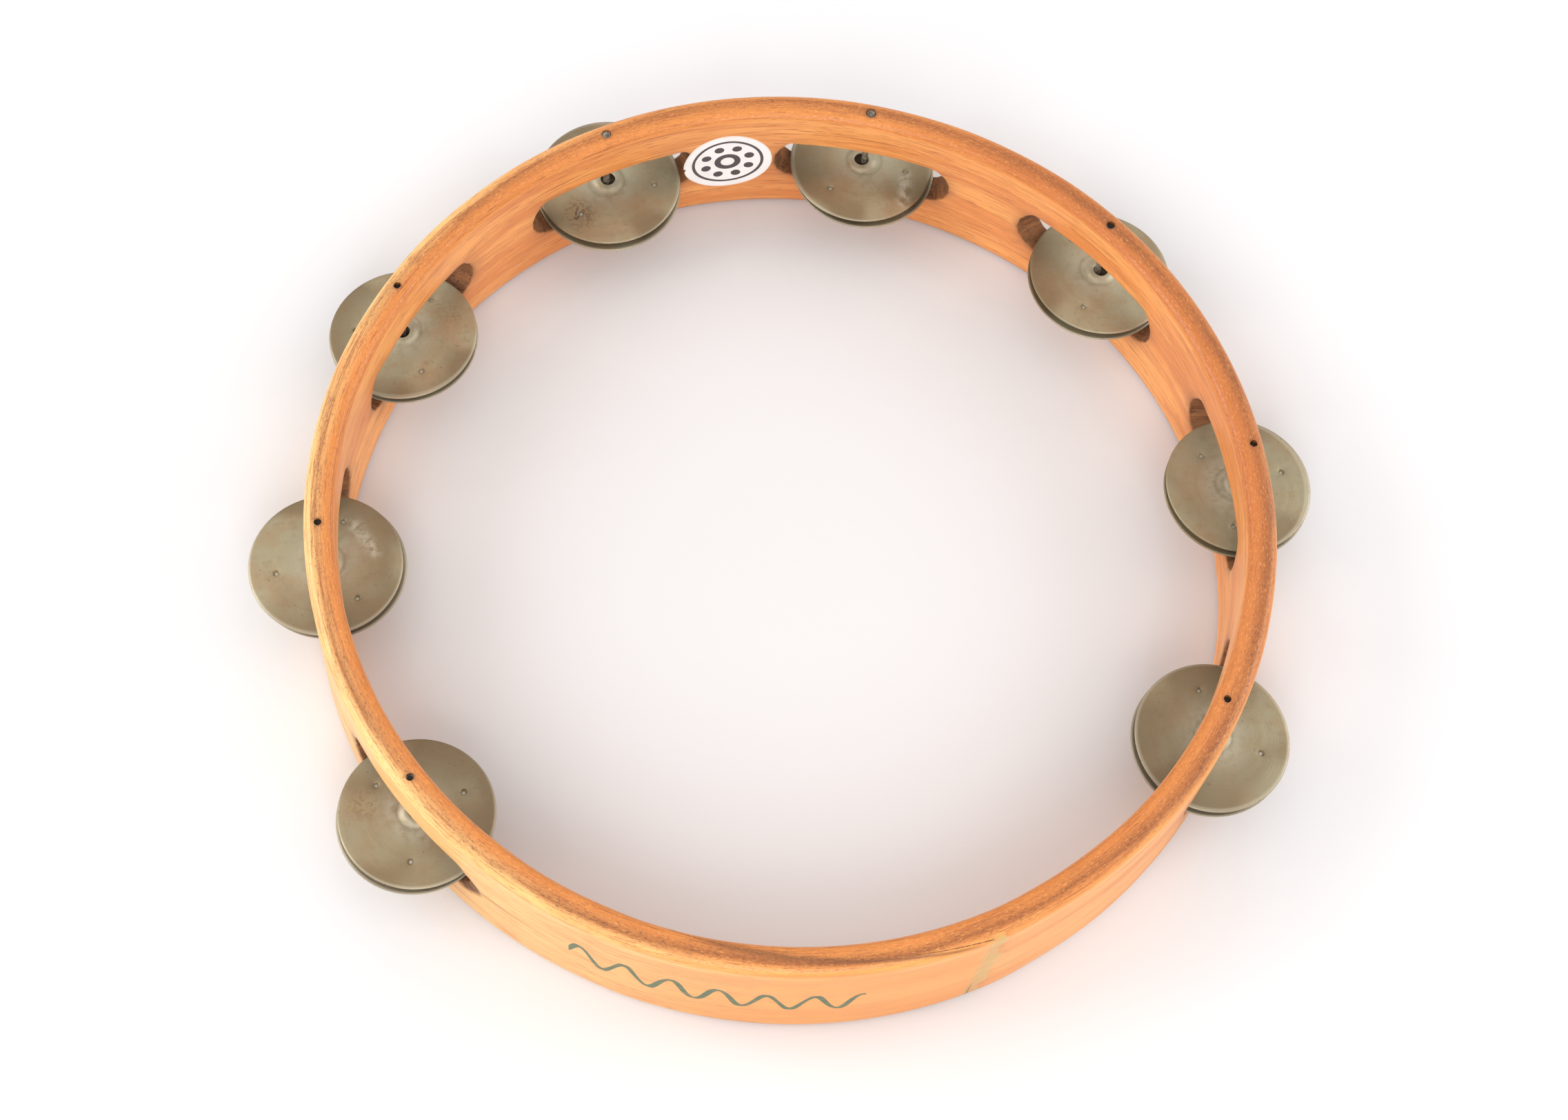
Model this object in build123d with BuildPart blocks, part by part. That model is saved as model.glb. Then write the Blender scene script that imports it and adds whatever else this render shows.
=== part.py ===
"""Headless wooden tambourine: a bent hoop with eight slots, a pair of sheet-metal jingles in each.

Origin: centre of the hoop, on the surface that it rests on. +Z is up. -Y is the side that the
hand grips, where the hoop has no slots. All sizes are in millimetres, all angles in degrees.
"""
from build123d import *
from math import cos, degrees, radians, sin, sqrt
import os

os.makedirs("parts", exist_ok=True)

INCH = 25.4

# ---- hoop: one strip of wood, bent round and lapped on itself ----
HOOP_OUTER_RADIUS = 5 * INCH
HOOP_THICKNESS = 5 / 16 * INCH
HOOP_HEIGHT = 1.75 * INCH
HOOP_EDGE_RADIUS = 2.4
HOOP_INNER_RADIUS = HOOP_OUTER_RADIUS - HOOP_THICKNESS
WALL_MIDDLE = HOOP_INNER_RADIUS + HOOP_THICKNESS / 2

# ---- eight stations, about evenly spaced except for the gap at the hand grip ----
STATION_COUNT = 8
STATION_PITCH = 35.0  # angle between neighbouring stations
STATION_STRAYS = (0.0, 0.1, 0.4, 0.3, 0.2, 0.1, -0.7, -0.5)  # how far each was drilled off its even place
FAR_SIDE = 90.0  # direction opposite the hand grip
SLOT_LENGTH = 50.0
SLOT_HEIGHT = 5 / 8 * INCH
SLOT_FLOOR = (HOOP_HEIGHT - SLOT_HEIGHT) / 2
SLOT_CUT_REACH = 10.0  # how far a slot's cut runs each way from the middle of the wall

# ---- scarf joint: the strip's tapered ends overlap under the hand ----
SCARF_INNER_END = 247.4  # direction in which the glue line meets the inner face
SCARF_OUTER_END = 284.8  # direction in which it meets the outer face
SCARF_TWIST = 1.5  # angle by which the seam's top is ahead of its foot
SCARF_NOSE = 0.5  # thickness that each tapered end is trimmed to
GLUE_THICKNESS = 0.2
CUT_MARGIN = 1.0  # how far a cut runs past the wood

# ---- nails that the jingles hang on, driven in from the top rim ----
NAIL_LENGTH = 1.5 * INCH
NAIL_RADIUS = 0.9
NAIL_HEAD_RADIUS = 1.2
NAIL_HEAD_THICKNESS = 0.9
NAIL_POINT_LENGTH = 2.4
NAIL_SINKS = (1.6, 1.6, 1.0, 0.4, 0.5, 1.5, 1.1, 0.9)  # depth of each head below the top rim

# ---- jingles: shallow dished discs with a raised boss and three punched dimples ----
JINGLE_RADIUS = 20.5
SHEET = 0.5
DOME_RISE = 1.05
DOME_RADIUS = (JINGLE_RADIUS**2 + DOME_RISE**2) / (2 * DOME_RISE)
BOSS_RISE = 0.85
BOSS_TOP_RADIUS = 3.3
BOSS_FOOT_RADIUS = 4.7
JINGLE_HOLE_RADIUS = 2.0
DIMPLE_COUNT = 3
DIMPLE_DISTANCE = 13.2  # from the middle of the jingle to each dimple
DIMPLE_MOUTH_RADIUS = 1.0
DIMPLE_TIP_RADIUS = 0.3
DIMPLE_WALL = 0.3
PAIR_GAP = 1.9  # between the rims of a pair
TIP_CLEARANCE = 0.05  # between the facing dimple tips of a pair
FLOOR_CLEARANCE = 0.05  # between the lower boss and the slot's floor
DIMPLE_TURNS = (8.0, 10.0, 81.0, 27.0, 2.0, 26.0, 9.0, 47.0)  # each pair's turn on its nail

# ---- round paper label on the inner face, opposite the grip ----
LABEL_RADIUS = INCH / 2
LABEL_THICKNESS = 0.12
LABEL_DIRECTION = 91.4
LABEL_MIDDLE = 23.2


def direction(angle):
    """Horizontal unit vector at an angle from +X."""
    return Vector(cos(radians(angle)), sin(radians(angle)), 0)


def station_angle(number):
    """Direction of station 1 to 8, counted anticlockwise from the grip's right-hand end."""
    even_place = FAR_SIDE + STATION_PITCH * (number - (STATION_COUNT + 1) / 2)
    return even_place + STATION_STRAYS[number - 1]


def station_point(number, height):
    """Point on a station's nail axis."""
    return direction(station_angle(number)) * WALL_MIDDLE + Vector(0, 0, height)


def section_plane(origin, angle, up=1):
    """Upright plane with its local X at an angle from +X, and its local Y up (1) or down (-1)."""
    outwards = direction(angle)
    return Plane(origin=origin, x_dir=outwards, z_dir=outwards.cross(Vector(0, 0, up)))


def dome_height(radius):
    """Height of a jingle's dished inner face above its rim."""
    return sqrt(DOME_RADIUS**2 - radius**2) - (DOME_RADIUS - DOME_RISE)


BOSS_HEIGHT = dome_height(BOSS_FOOT_RADIUS) + BOSS_RISE
PAIR_MIDDLE = SLOT_FLOOR + FLOOR_CLEARANCE + SHEET + BOSS_HEIGHT + PAIR_GAP / 2


def hoop_section():
    """Cross-section of the wooden strip, with all four long edges rounded."""
    with BuildSketch(Plane.XZ) as section:
        with Locations((WALL_MIDDLE, HOOP_HEIGHT / 2)):
            RectangleRounded(HOOP_THICKNESS, HOOP_HEIGHT, HOOP_EDGE_RADIUS)
    return section.sketch


def slot_outline(number):
    """Round-ended slot, drawn inside the hoop on a plane that faces outwards."""
    angle = station_angle(number)
    start = direction(angle) * (WALL_MIDDLE - SLOT_CUT_REACH) + Vector(0, 0, HOOP_HEIGHT / 2)
    with BuildSketch(Plane(origin=start, x_dir=direction(angle + 90), z_dir=direction(angle))) as outline:
        SlotOverall(SLOT_LENGTH, SLOT_HEIGHT)
    return outline.sketch


def scarf_outline(height):
    """The gap that the glue fills, at one height: in through the inner face, along and out again."""
    inner = HOOP_INNER_RADIUS + SCARF_NOSE
    outer = HOOP_OUTER_RADIUS - SCARF_NOSE
    half = GLUE_THICKNESS / 2
    half_turn = degrees(half / WALL_MIDDLE)
    middle = (SCARF_INNER_END + SCARF_OUTER_END) / 2
    turn = SCARF_TWIST * (height / HOOP_HEIGHT - 0.5)

    def leg(angle, first, last):
        return Line(direction(angle) * first, direction(angle) * last)

    with BuildSketch(Plane(origin=(0, 0, height), x_dir=direction(turn), z_dir=(0, 0, 1))) as outline:
        with BuildLine():
            foot = leg(SCARF_INNER_END - half_turn, HOOP_INNER_RADIUS - CUT_MARGIN, inner + half)
            head = leg(SCARF_OUTER_END - half_turn, outer + half, HOOP_OUTER_RADIUS + CUT_MARGIN)
            ThreePointArc(foot @ 1, direction(middle) * (WALL_MIDDLE + half), head @ 0)
            head_end = leg(SCARF_OUTER_END + half_turn, HOOP_OUTER_RADIUS + CUT_MARGIN, outer - half)
            foot_end = leg(SCARF_INNER_END + half_turn, inner - half, HOOP_INNER_RADIUS - CUT_MARGIN)
            ThreePointArc(head_end @ 1, direction(middle) * (WALL_MIDDLE - half), foot_end @ 0)
            Line(head @ 1, head_end @ 0)
            Line(foot_end @ 1, foot @ 0)
        make_face()
    return outline.sketch


def scarf_ends():
    """The glue line's outline below the bottom rim and above the top rim."""
    return [scarf_outline(-CUT_MARGIN), scarf_outline(HOOP_HEIGHT + CUT_MARGIN)]


def nail_top(number):
    """Height of a nail's head."""
    return HOOP_HEIGHT - NAIL_SINKS[number - 1]


def nail_section(number, end):
    """Half section of a nail up to its end; one that ends above the rim is the hole that it leaves."""
    top = nail_top(number)
    tip = top - NAIL_LENGTH
    with BuildSketch(section_plane(station_point(number, 0), station_angle(number))) as half:
        with BuildLine():
            Polyline(
                (0, tip),
                (NAIL_RADIUS, tip + NAIL_POINT_LENGTH),
                (NAIL_RADIUS, top - NAIL_HEAD_THICKNESS),
                (NAIL_HEAD_RADIUS, top - NAIL_HEAD_THICKNESS / 2),
                (NAIL_HEAD_RADIUS, end),
                (0, end),
                close=True,
            )
        make_face()
    return half.sketch


def nail_axis(number):
    """Upright axis of a station's nail."""
    return Axis(station_point(number, 0), (0, 0, 1))


def jingle_section(number, up):
    """Half section of an upper (1) or lower (-1) jingle, drawn from the middle of its pair."""
    foot = PAIR_GAP / 2 + dome_height(BOSS_FOOT_RADIUS)
    top = PAIR_GAP / 2 + BOSS_HEIGHT
    plane = section_plane(station_point(number, PAIR_MIDDLE), station_angle(number), up)
    with BuildSketch(plane) as half:
        with BuildLine():
            RadiusArc((JINGLE_RADIUS, PAIR_GAP / 2), (BOSS_FOOT_RADIUS, foot), -DOME_RADIUS)
            Polyline(
                (BOSS_FOOT_RADIUS, foot),
                (BOSS_TOP_RADIUS, top),
                (JINGLE_HOLE_RADIUS, top),
                (JINGLE_HOLE_RADIUS, top + SHEET),
                (BOSS_TOP_RADIUS, top + SHEET),
                (BOSS_FOOT_RADIUS, foot + SHEET),
            )
            RadiusArc((BOSS_FOOT_RADIUS, foot + SHEET), (JINGLE_RADIUS, PAIR_GAP / 2 + SHEET), DOME_RADIUS)
            Line((JINGLE_RADIUS, PAIR_GAP / 2 + SHEET), (JINGLE_RADIUS, PAIR_GAP / 2))
        make_face()
    return half.sketch


def dimple_section(number, up, angle, wall):
    """Half section of a dimple's cone: its outside (wall 0), or the pit that leaves a wall round it."""
    face = PAIR_GAP / 2 + dome_height(DIMPLE_DISTANCE) + SHEET
    tip = TIP_CLEARANCE / 2 + wall
    top = face + SHEET if wall else face - SHEET / 2
    mouth = DIMPLE_MOUTH_RADIUS if wall else DIMPLE_MOUTH_RADIUS + DIMPLE_WALL
    middle = station_point(number, PAIR_MIDDLE) + direction(angle) * DIMPLE_DISTANCE
    with BuildSketch(section_plane(middle, angle, up)) as half:
        with BuildLine():
            Polyline((0, tip), (DIMPLE_TIP_RADIUS, tip), (mouth, top), (0, top), close=True)
        make_face()
    return half.sketch


# ======================= hoop =======================
with BuildPart() as hoop:
    revolve(hoop_section(), axis=Axis.Z)
    for number in range(1, STATION_COUNT + 1):
        extrude(slot_outline(number), amount=2 * SLOT_CUT_REACH, mode=Mode.SUBTRACT)
        nail_hole = nail_section(number, HOOP_HEIGHT + CUT_MARGIN)
        revolve(nail_hole, axis=nail_axis(number), mode=Mode.SUBTRACT)
    loft(scarf_ends(), mode=Mode.SUBTRACT)
hoop.part.label = "hoop"
export_step(hoop.part, "parts/hoop.step")


# ======================= glue in the scarf joint =======================
with BuildPart() as scarf_glue_line:
    loft(scarf_ends())
    revolve(hoop_section(), axis=Axis.Z, mode=Mode.INTERSECT)
scarf_glue_line.part.label = "scarf_glue_line"
export_step(scarf_glue_line.part, "parts/scarf_glue_line.step")


# ======================= round paper label =======================
with BuildPart() as round_label:
    facing = direction(LABEL_DIRECTION)
    middle = facing * (HOOP_INNER_RADIUS - SLOT_CUT_REACH) + Vector(0, 0, LABEL_MIDDLE)
    with BuildSketch(Plane(origin=middle, x_dir=direction(LABEL_DIRECTION + 90), z_dir=facing)):
        Circle(LABEL_RADIUS)
    extrude(amount=2 * SLOT_CUT_REACH)
    with BuildSketch(Plane.XY):
        Circle(HOOP_INNER_RADIUS)
        Circle(HOOP_INNER_RADIUS - LABEL_THICKNESS, mode=Mode.SUBTRACT)
    extrude(amount=HOOP_HEIGHT, mode=Mode.INTERSECT)
round_label.part.label = "round_label"
export_step(round_label.part, "parts/round_label.step")


# ======================= nails =======================
for number in range(1, STATION_COUNT + 1):
    with BuildPart() as nail:
        revolve(nail_section(number, nail_top(number)), axis=nail_axis(number))
    nail.part.label = f"nail_{number}"
    export_step(nail.part, f"parts/nail_{number}.step")


# ======================= jingles =======================
for number in range(1, STATION_COUNT + 1):
    for side, up in (("upper", 1), ("lower", -1)):
        with BuildPart() as jingle:
            revolve(jingle_section(number, up), axis=nail_axis(number))
            for index in range(DIMPLE_COUNT):
                turn = DIMPLE_TURNS[number - 1] + 360 * index / DIMPLE_COUNT
                angle = station_angle(number) + turn
                centre = station_point(number, 0) + direction(angle) * DIMPLE_DISTANCE
                upright = Axis(centre, (0, 0, 1))
                revolve(dimple_section(number, up, angle, wall=0), axis=upright)
                revolve(dimple_section(number, up, angle, wall=DIMPLE_WALL), axis=upright, mode=Mode.SUBTRACT)
        jingle.part.label = f"{side}_jingle_{number}"
        export_step(jingle.part, f"parts/{side}_jingle_{number}.step")
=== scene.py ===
import math

import bmesh
import bpy
import numpy as np
from mathutils import Matrix, Quaternion, Vector


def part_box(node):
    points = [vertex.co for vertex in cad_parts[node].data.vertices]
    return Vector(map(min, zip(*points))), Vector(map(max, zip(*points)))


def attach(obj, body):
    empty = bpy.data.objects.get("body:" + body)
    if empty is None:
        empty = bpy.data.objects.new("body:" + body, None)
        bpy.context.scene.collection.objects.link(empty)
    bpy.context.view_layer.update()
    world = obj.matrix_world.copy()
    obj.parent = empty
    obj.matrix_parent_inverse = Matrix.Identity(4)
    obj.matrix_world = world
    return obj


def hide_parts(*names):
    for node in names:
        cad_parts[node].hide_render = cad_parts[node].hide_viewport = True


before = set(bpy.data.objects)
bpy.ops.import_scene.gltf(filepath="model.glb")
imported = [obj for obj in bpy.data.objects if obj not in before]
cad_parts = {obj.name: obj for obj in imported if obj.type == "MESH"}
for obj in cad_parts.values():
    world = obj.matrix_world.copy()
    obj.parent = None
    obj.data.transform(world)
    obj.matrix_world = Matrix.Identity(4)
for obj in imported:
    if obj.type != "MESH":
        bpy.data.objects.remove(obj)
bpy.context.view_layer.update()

MM = 0.001

# ---------------------------------------------------------------- sizes, from the frame
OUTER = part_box("hoop")[1].x
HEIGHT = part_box("hoop")[1].z
THICKNESS = 7.9375 * MM
INNER = OUTER - THICKNESS
MIDDLE = OUTER - THICKNESS / 2
EDGE = 2.4 * MM  # radius of the hoop's long edges
SLOT_HALF_LENGTH = 25.0 * MM
SLOT_RADIUS = 15.875 / 2 * MM
SLOT_MIDDLE = HEIGHT / 2
SLOT_STRAIGHT = SLOT_HALF_LENGTH - SLOT_RADIUS
LIP = 0.8 * MM  # rounding of the slots' edges
END_POWER = 2.2  # 2 makes a slot's ends round, and more makes them squarer
BORROWED = 0.5  # how much of each end's quarter turn, in radians, is meshed from the rails' side
CHIPS = {3: (0.9, 0.7), 4: (1.0, 0.2), 5: (0.7, 1.1)}  # torn upper corners of a slot, in mm, each way round
USUAL_CHIPS = (0.9, 0.7)
CHIP_SLOPE = 1.1  # how far round a slot's end the chips are, in radians up from level
CHIP_SPREAD = 0.28
CHATTER = 0.12 * MM  # depth of the tool's marks in a slot's ends
CHATTER_WAVES = 15
FLARE = 1.0 * MM  # how much shorter a slot is at each end on the outer face than on the inner
# splinter torn out beside a slot: the slot, its end, slope and half width in radians, length and depth in mm
TEAR = (8, 1, -0.25, 0.95, 4.8, 1.0)
SWAY = 0.16 * MM  # the strip's unevenness: long waves in and out, and short ones
WRINKLE = 0.06 * MM
RISE = 0.07 * MM  # waves of its rims up and down
SHRINKAGE = 0.2 * MM  # how far it lies inside its even place, so that the waves stay in the CAD hoop's box
NAIL_DRIFTS = {1: -0.9, 2: 0.8}  # how far a nail stands outwards of the rim's middle, in mm
MOUTHS = {3: 1.15, 4: 1.45, 5: 1.3}  # radius of a nail's hole at the rim, in mm, where wood hasn't closed it
CLOSED_MOUTH = 0.95
BORE = 1.22  # radius of a nail's hole below its mouth, in mm
SCORCH_REACH = 1.8 * MM  # how far scorching fades out from a slot, and painted shade with dirt from a nail's hole
HOLE_SHADE_REACH = 0.25 * MM
STATIONS = range(1, 9)
PITCH = math.radians(35)
HALF_PITCH = PITCH / 2
STEP = math.radians(0.5)  # spacing of the hoop's mesh round the ring
ROWS = 24  # rows of the hoop's mesh up its faces


def middle_of(node):
    """Middle of a CAD node's box."""
    low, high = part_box(node)
    return (low + high) / 2


def heading(point):
    """Direction of a point from the hoop's axis."""
    return math.atan2(point.y, point.x)


ANGLES = {n: heading(middle_of(f"nail_{n}")) for n in STATIONS}
CELLS = {n: math.pi / 2 + PITCH * (n - 4.5) for n in STATIONS}  # middles of even stretches, one to a slot
NAIL_REACHES = {n: MIDDLE + NAIL_DRIFTS.get(n, 0.0) * MM for n in STATIONS}
NAIL_PLACES = {
    n: (NAIL_REACHES[n] * math.cos(ANGLES[n]), NAIL_REACHES[n] * math.sin(ANGLES[n])) for n in STATIONS
}
LABEL_ANGLE = heading(middle_of("round_label"))
LABEL_HEIGHT = middle_of("round_label").z
LABEL_RADIUS = (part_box("round_label")[1].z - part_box("round_label")[0].z) / 2
JINGLE_RADIUS = (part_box("upper_jingle_2")[1].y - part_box("upper_jingle_2")[0].y) / 2
SEAM_OUT = math.radians(284.8)  # where the scarf joint's seam crosses the outer face
SEAM_IN = math.radians(247.4)
SEAM_TWIST = math.radians(1.5)  # how far the seam's top is ahead of its foot
SEAM_NOSE = 0.5 * MM


def smooth(value, low, high):
    """0 below low, 1 above high and smooth between, for numbers and arrays; low may be above high."""
    share = np.clip((value - low) / (high - low), 0, 1)
    return share * share * (3 - 2 * share)


def waves(value, seed, count=5, first=1):
    """Sum of a few whole-number waves round a circle, between about -1 and 1."""
    dice = np.random.default_rng(seed)
    total = 0 * value
    for k in range(first, first + count):
        total = total + dice.uniform(-1, 1) * np.sin(k * value + dice.uniform(0, 2 * math.pi))
    return total / math.sqrt(count)


def even_turns(count):
    """Angles spaced evenly round a circle."""
    return np.linspace(0, 2 * math.pi, count, endpoint=False)


def wrapped(angle):
    """The same angle between minus half a turn and half a turn."""
    return (angle + math.pi) % (2 * math.pi) - math.pi


# ---------------------------------------------------------------- mesh building
def circle_points(radius, angle, height):
    """A row of points round the axis, from radii, angles and heights."""
    return np.stack([radius * np.cos(angle), radius * np.sin(angle), height + 0 * angle], axis=1)


class Patches:
    """Collects grids of points and welds them into one mesh."""

    def __init__(self):
        self.points = []
        self.faces = []
        self.count = 0

    def grid(self, points, closed=False):
        """Adds rows x columns x 3 points. A closed grid's last column joins its first."""
        rows, columns = points.shape[:2]
        index = self.count + np.arange(rows * columns).reshape(rows, columns)
        if closed:
            index = np.concatenate([index, index[:, :1]], axis=1)
        quads = np.stack([index[:-1, :-1], index[:-1, 1:], index[1:, 1:], index[1:, :-1]], axis=-1)
        self.points.append(points.reshape(-1, 3))
        self.faces.append(quads.reshape(-1, 4))
        self.count += rows * columns

    def mesh(self, name, weld=2e-6):
        """One mesh with its faces turned outwards and shaded smooth."""
        made = bpy.data.meshes.new(name)
        made.from_pydata(np.concatenate(self.points).tolist(), [], np.concatenate(self.faces).tolist())
        work = bmesh.new()
        work.from_mesh(made)
        bmesh.ops.remove_doubles(work, verts=work.verts, dist=weld)
        bmesh.ops.recalc_face_normals(work, faces=work.faces)
        work.to_mesh(made)
        work.free()
        made.shade_smooth()
        return made


def new_object(name, mesh, material=None):
    """Links a mesh into the scene as an object."""
    made = bpy.data.objects.new(name, mesh)
    bpy.context.scene.collection.objects.link(made)
    if material:
        made.data.materials.clear()
        made.data.materials.append(material)
    return made


def vertex_array(mesh):
    """A mesh's points as an array."""
    points = np.empty(len(mesh.vertices) * 3, np.float32)
    mesh.vertices.foreach_get("co", points)
    return points.reshape(-1, 3).astype(float)


def put_attribute(mesh, name, values):
    """Stores one number for each point, for the materials to read."""
    made = mesh.attributes.new(name, "FLOAT", "POINT")
    made.data.foreach_set("value", np.asarray(values, np.float32))


# ---------------------------------------------------------------- hoop
def rim_section(top):
    """The hoop's section round one rim, from the outer face over the rim to the inner face."""
    turns = np.linspace(0, math.pi / 2, 8)
    outer = [(OUTER - EDGE + EDGE * math.cos(t), EDGE - EDGE * math.sin(t)) for t in turns]
    inner = [(2 * MIDDLE - r, z) for r, z in reversed(outer)]
    flat = [(MIDDLE + (THICKNESS / 2 - EDGE) * (1 - 2 * k / 5), 0) for k in range(1, 5)]
    section = outer + flat + inner
    return [(r, HEIGHT - z if top else z) for r, z in section]


def slot_patch(patches, number):
    """The stretch of wall round one slot: both faces, the slot's rounded lips and its wall."""
    station = ANGLES[number]
    outwards = np.array([math.cos(station), math.sin(station), 0])
    along = np.array([-math.sin(station), math.cos(station), 0])
    low, high = EDGE, HEIGHT - EDGE
    columns = round(PITCH / STEP)
    across = np.linspace(-HALF_PITCH, HALF_PITCH, columns + 1)
    up = np.linspace(low, high, ROWS + 1)
    # the patch's border, once round: angle from the middle of the cell, and height
    border = np.array(
        [(a, low) for a in across[:-1]] + [(HALF_PITCH, z) for z in up[:-1]]
        + [(a, high) for a in across[:0:-1]] + [(-HALF_PITCH, z) for z in up[:0:-1]]
    )
    shift = wrapped(CELLS[number] - station)  # from the slot's middle to its cell's
    # each border point faces a point of the slot's outline, which stands SLOT_RADIUS off the slot's spine
    on_rail = np.isin(border[:, 1], (low, high)) & (np.abs(border[:, 0]) < HALF_PITCH - 1e-9)
    run = np.abs(border[:, 0]) / HALF_PITCH * (SLOT_STRAIGHT + BORROWED * SLOT_RADIUS)
    above = (border[:, 1] - SLOT_MIDDLE) / (high - SLOT_MIDDLE)
    lean = np.maximum(run - SLOT_STRAIGHT, 0) / SLOT_RADIUS
    slope = np.where(on_rail, np.sign(above) * (math.pi / 2 - lean), above * (math.pi / 2 - BORROWED))
    way = np.sign(border[:, 0])
    spine = np.stack([way * np.minimum(run, SLOT_STRAIGHT), 0 * way + SLOT_MIDDLE], axis=1)
    reach = np.stack([way * np.cos(slope), np.sin(slope)], axis=1)
    beyond = np.abs(spine[:, 0]) > SLOT_STRAIGHT - 1e-9
    squareness = (np.abs(reach[:, 0]) ** END_POWER + np.abs(reach[:, 1]) ** END_POWER) ** (-1 / END_POWER)
    left_chip, right_chip = CHIPS.get(number, USUAL_CHIPS)
    near_chip = np.exp(-(((slope - CHIP_SLOPE) / CHIP_SPREAD) ** 2))
    chip = np.where(way > 0, left_chip, right_chip) * MM * near_chip
    endness = smooth(np.abs(spine[:, 0] + SLOT_RADIUS * reach[:, 0]), 18 * MM, 22 * MM)
    chatter = CHATTER * endness * np.sin(slope * CHATTER_WAVES + number)
    radius_here = SLOT_RADIUS * np.where(beyond, squareness, 1) + chip
    flare = -FLARE * np.where(beyond, np.abs(reach[:, 0]), 0)
    # the torn splinter is a wedge, longest at its slope
    torn_slot, torn_end, torn_slope, torn_width, torn_length, torn_depth = TEAR
    torn = np.maximum(1 - np.abs(slope - torn_slope) / torn_width, 0)
    torn = np.where((way == torn_end) & (number == torn_slot), torn, 0)
    tear = torn_length * MM * torn
    sunk = torn_depth * MM * np.minimum(3 * torn, 1)

    def outline(offset):
        return spine + reach * (radius_here + offset)[:, None]

    def place(flat, radius, depth):
        radial = np.sqrt(radius**2 - flat[:, 0] ** 2) + depth
        return radial[:, None] * outwards + flat[:, :1] * along + flat[:, 1:] * np.array([0, 0, 1.0])

    def face_rings(radius, change):
        rings = []
        start = outline(LIP + change)
        start[:, 0] = np.arcsin(start[:, 0] / radius)
        for share in np.linspace(0, 1, 10) ** 1.25:
            ring = start * (1 - share) + (border + [shift, 0]) * share
            rings.append(circle_points(radius, station + ring[:, 0], ring[:, 1]))
        return np.array(rings)

    def lip_rings(radius, sign, change, longer, deeper):
        rings = []
        for turn in np.linspace(0, math.pi / 2, 5):
            offset = (LIP + longer) * (1 - math.sin(turn)) + chatter * math.sin(turn) + change
            depth = LIP * (1 - math.cos(turn)) + deeper * math.sin(turn)
            rings.append(place(outline(offset), radius, sign * depth))
        return np.array(rings)

    outer_lip = lip_rings(OUTER, -1, flare, tear, sunk)
    inner_lip = lip_rings(INNER, 1, 0 * flare, 0 * tear, 0 * sunk)
    wall = np.array([outer_lip[-1] * (1 - s) + inner_lip[-1] * s for s in np.linspace(0, 1, 7)])
    outer_face = face_rings(OUTER, flare + tear)
    inner_face = face_rings(INNER, 0 * flare)
    for rings in (outer_face, outer_lip, wall, inner_lip, inner_face):
        patches.grid(rings, closed=True)


def seam_cutter():
    """Thin curved sheet where the scarf joint's glue lies, with a margin outside the wood."""
    half = 0.1 * MM
    margin = 2 * MM
    middle = (SEAM_IN + SEAM_OUT) / 2
    turn = half / MIDDLE

    def arc(shift, start, end):
        share = np.linspace(0, 1, 25)
        angle = start + (end - start) * share
        radius = INNER + SEAM_NOSE + (THICKNESS - 2 * SEAM_NOSE) * share + shift
        return [(r, a) for r, a in zip(radius, angle)]

    outline = [(INNER - margin, SEAM_IN - turn)] + arc(half, SEAM_IN - turn, SEAM_OUT - turn)
    outline += [(OUTER + margin, SEAM_OUT - turn), (OUTER + margin, SEAM_OUT + turn)]
    outline += arc(-half, SEAM_IN + turn, SEAM_OUT + turn)[::-1] + [(INNER - margin, SEAM_IN + turn)]
    radius, angle = np.array(outline).T
    patches = Patches()
    rows = []
    for height in np.linspace(-margin, HEIGHT + margin, 9):
        twisted = angle + SEAM_TWIST * (height / HEIGHT - 0.5)
        rows.append(circle_points(radius, twisted, height))
    patches.grid(np.array(rows), closed=True)
    made = patches.mesh("seam_cutter", weld=1e-7)
    close_ends(made)
    return made


def close_ends(mesh):
    """Fills a tube's two open ends."""
    work = bmesh.new()
    work.from_mesh(mesh)
    bmesh.ops.holes_fill(work, edges=[e for e in work.edges if e.is_boundary], sides=0)
    bmesh.ops.recalc_face_normals(work, faces=work.faces)
    work.to_mesh(mesh)
    work.free()


def hole_cutter(number):
    """The slightly torn hole that a sunk nail leaves in the top rim."""
    mouth = MOUTHS.get(number, CLOSED_MOUTH)
    turns = even_turns(24)
    ragged = 1 + 0.10 * waves(turns, 40 + number, 6, 2)
    profile = ((-6.0, 1.21), (-0.8, BORE), (-0.4, (BORE + mouth) / 2), (0.05, mouth), (1.5, mouth + 0.2))
    rows = []
    for height, radius in profile:
        reach = radius * MM * (ragged if height > -0.5 else 1)
        rows.append(circle_points(reach, turns, HEIGHT + height * MM) + [*NAIL_PLACES[number], 0])
    patches = Patches()
    patches.grid(np.array(rows), closed=True)
    made = patches.mesh("hole_cutter", weld=1e-7)
    close_ends(made)
    return made


def cut(target, cutters):
    """Subtracts the cutters from the target's mesh for good."""
    joined = bmesh.new()
    for cutter in cutters:
        joined.from_mesh(cutter)
    whole = bpy.data.meshes.new("cutter")
    joined.to_mesh(whole)
    joined.free()
    tool = new_object("cutter", whole)
    modifier = target.modifiers.new("cut", "BOOLEAN")
    modifier.object = tool
    modifier.operation = "DIFFERENCE"
    modifier.solver = "EXACT"
    evaluated = target.evaluated_get(bpy.context.evaluated_depsgraph_get())
    result = bpy.data.meshes.new_from_object(evaluated)
    target.modifiers.clear()
    target.data = result
    bpy.data.objects.remove(tool)
    for cutter in cutters:
        bpy.data.meshes.remove(cutter)


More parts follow.
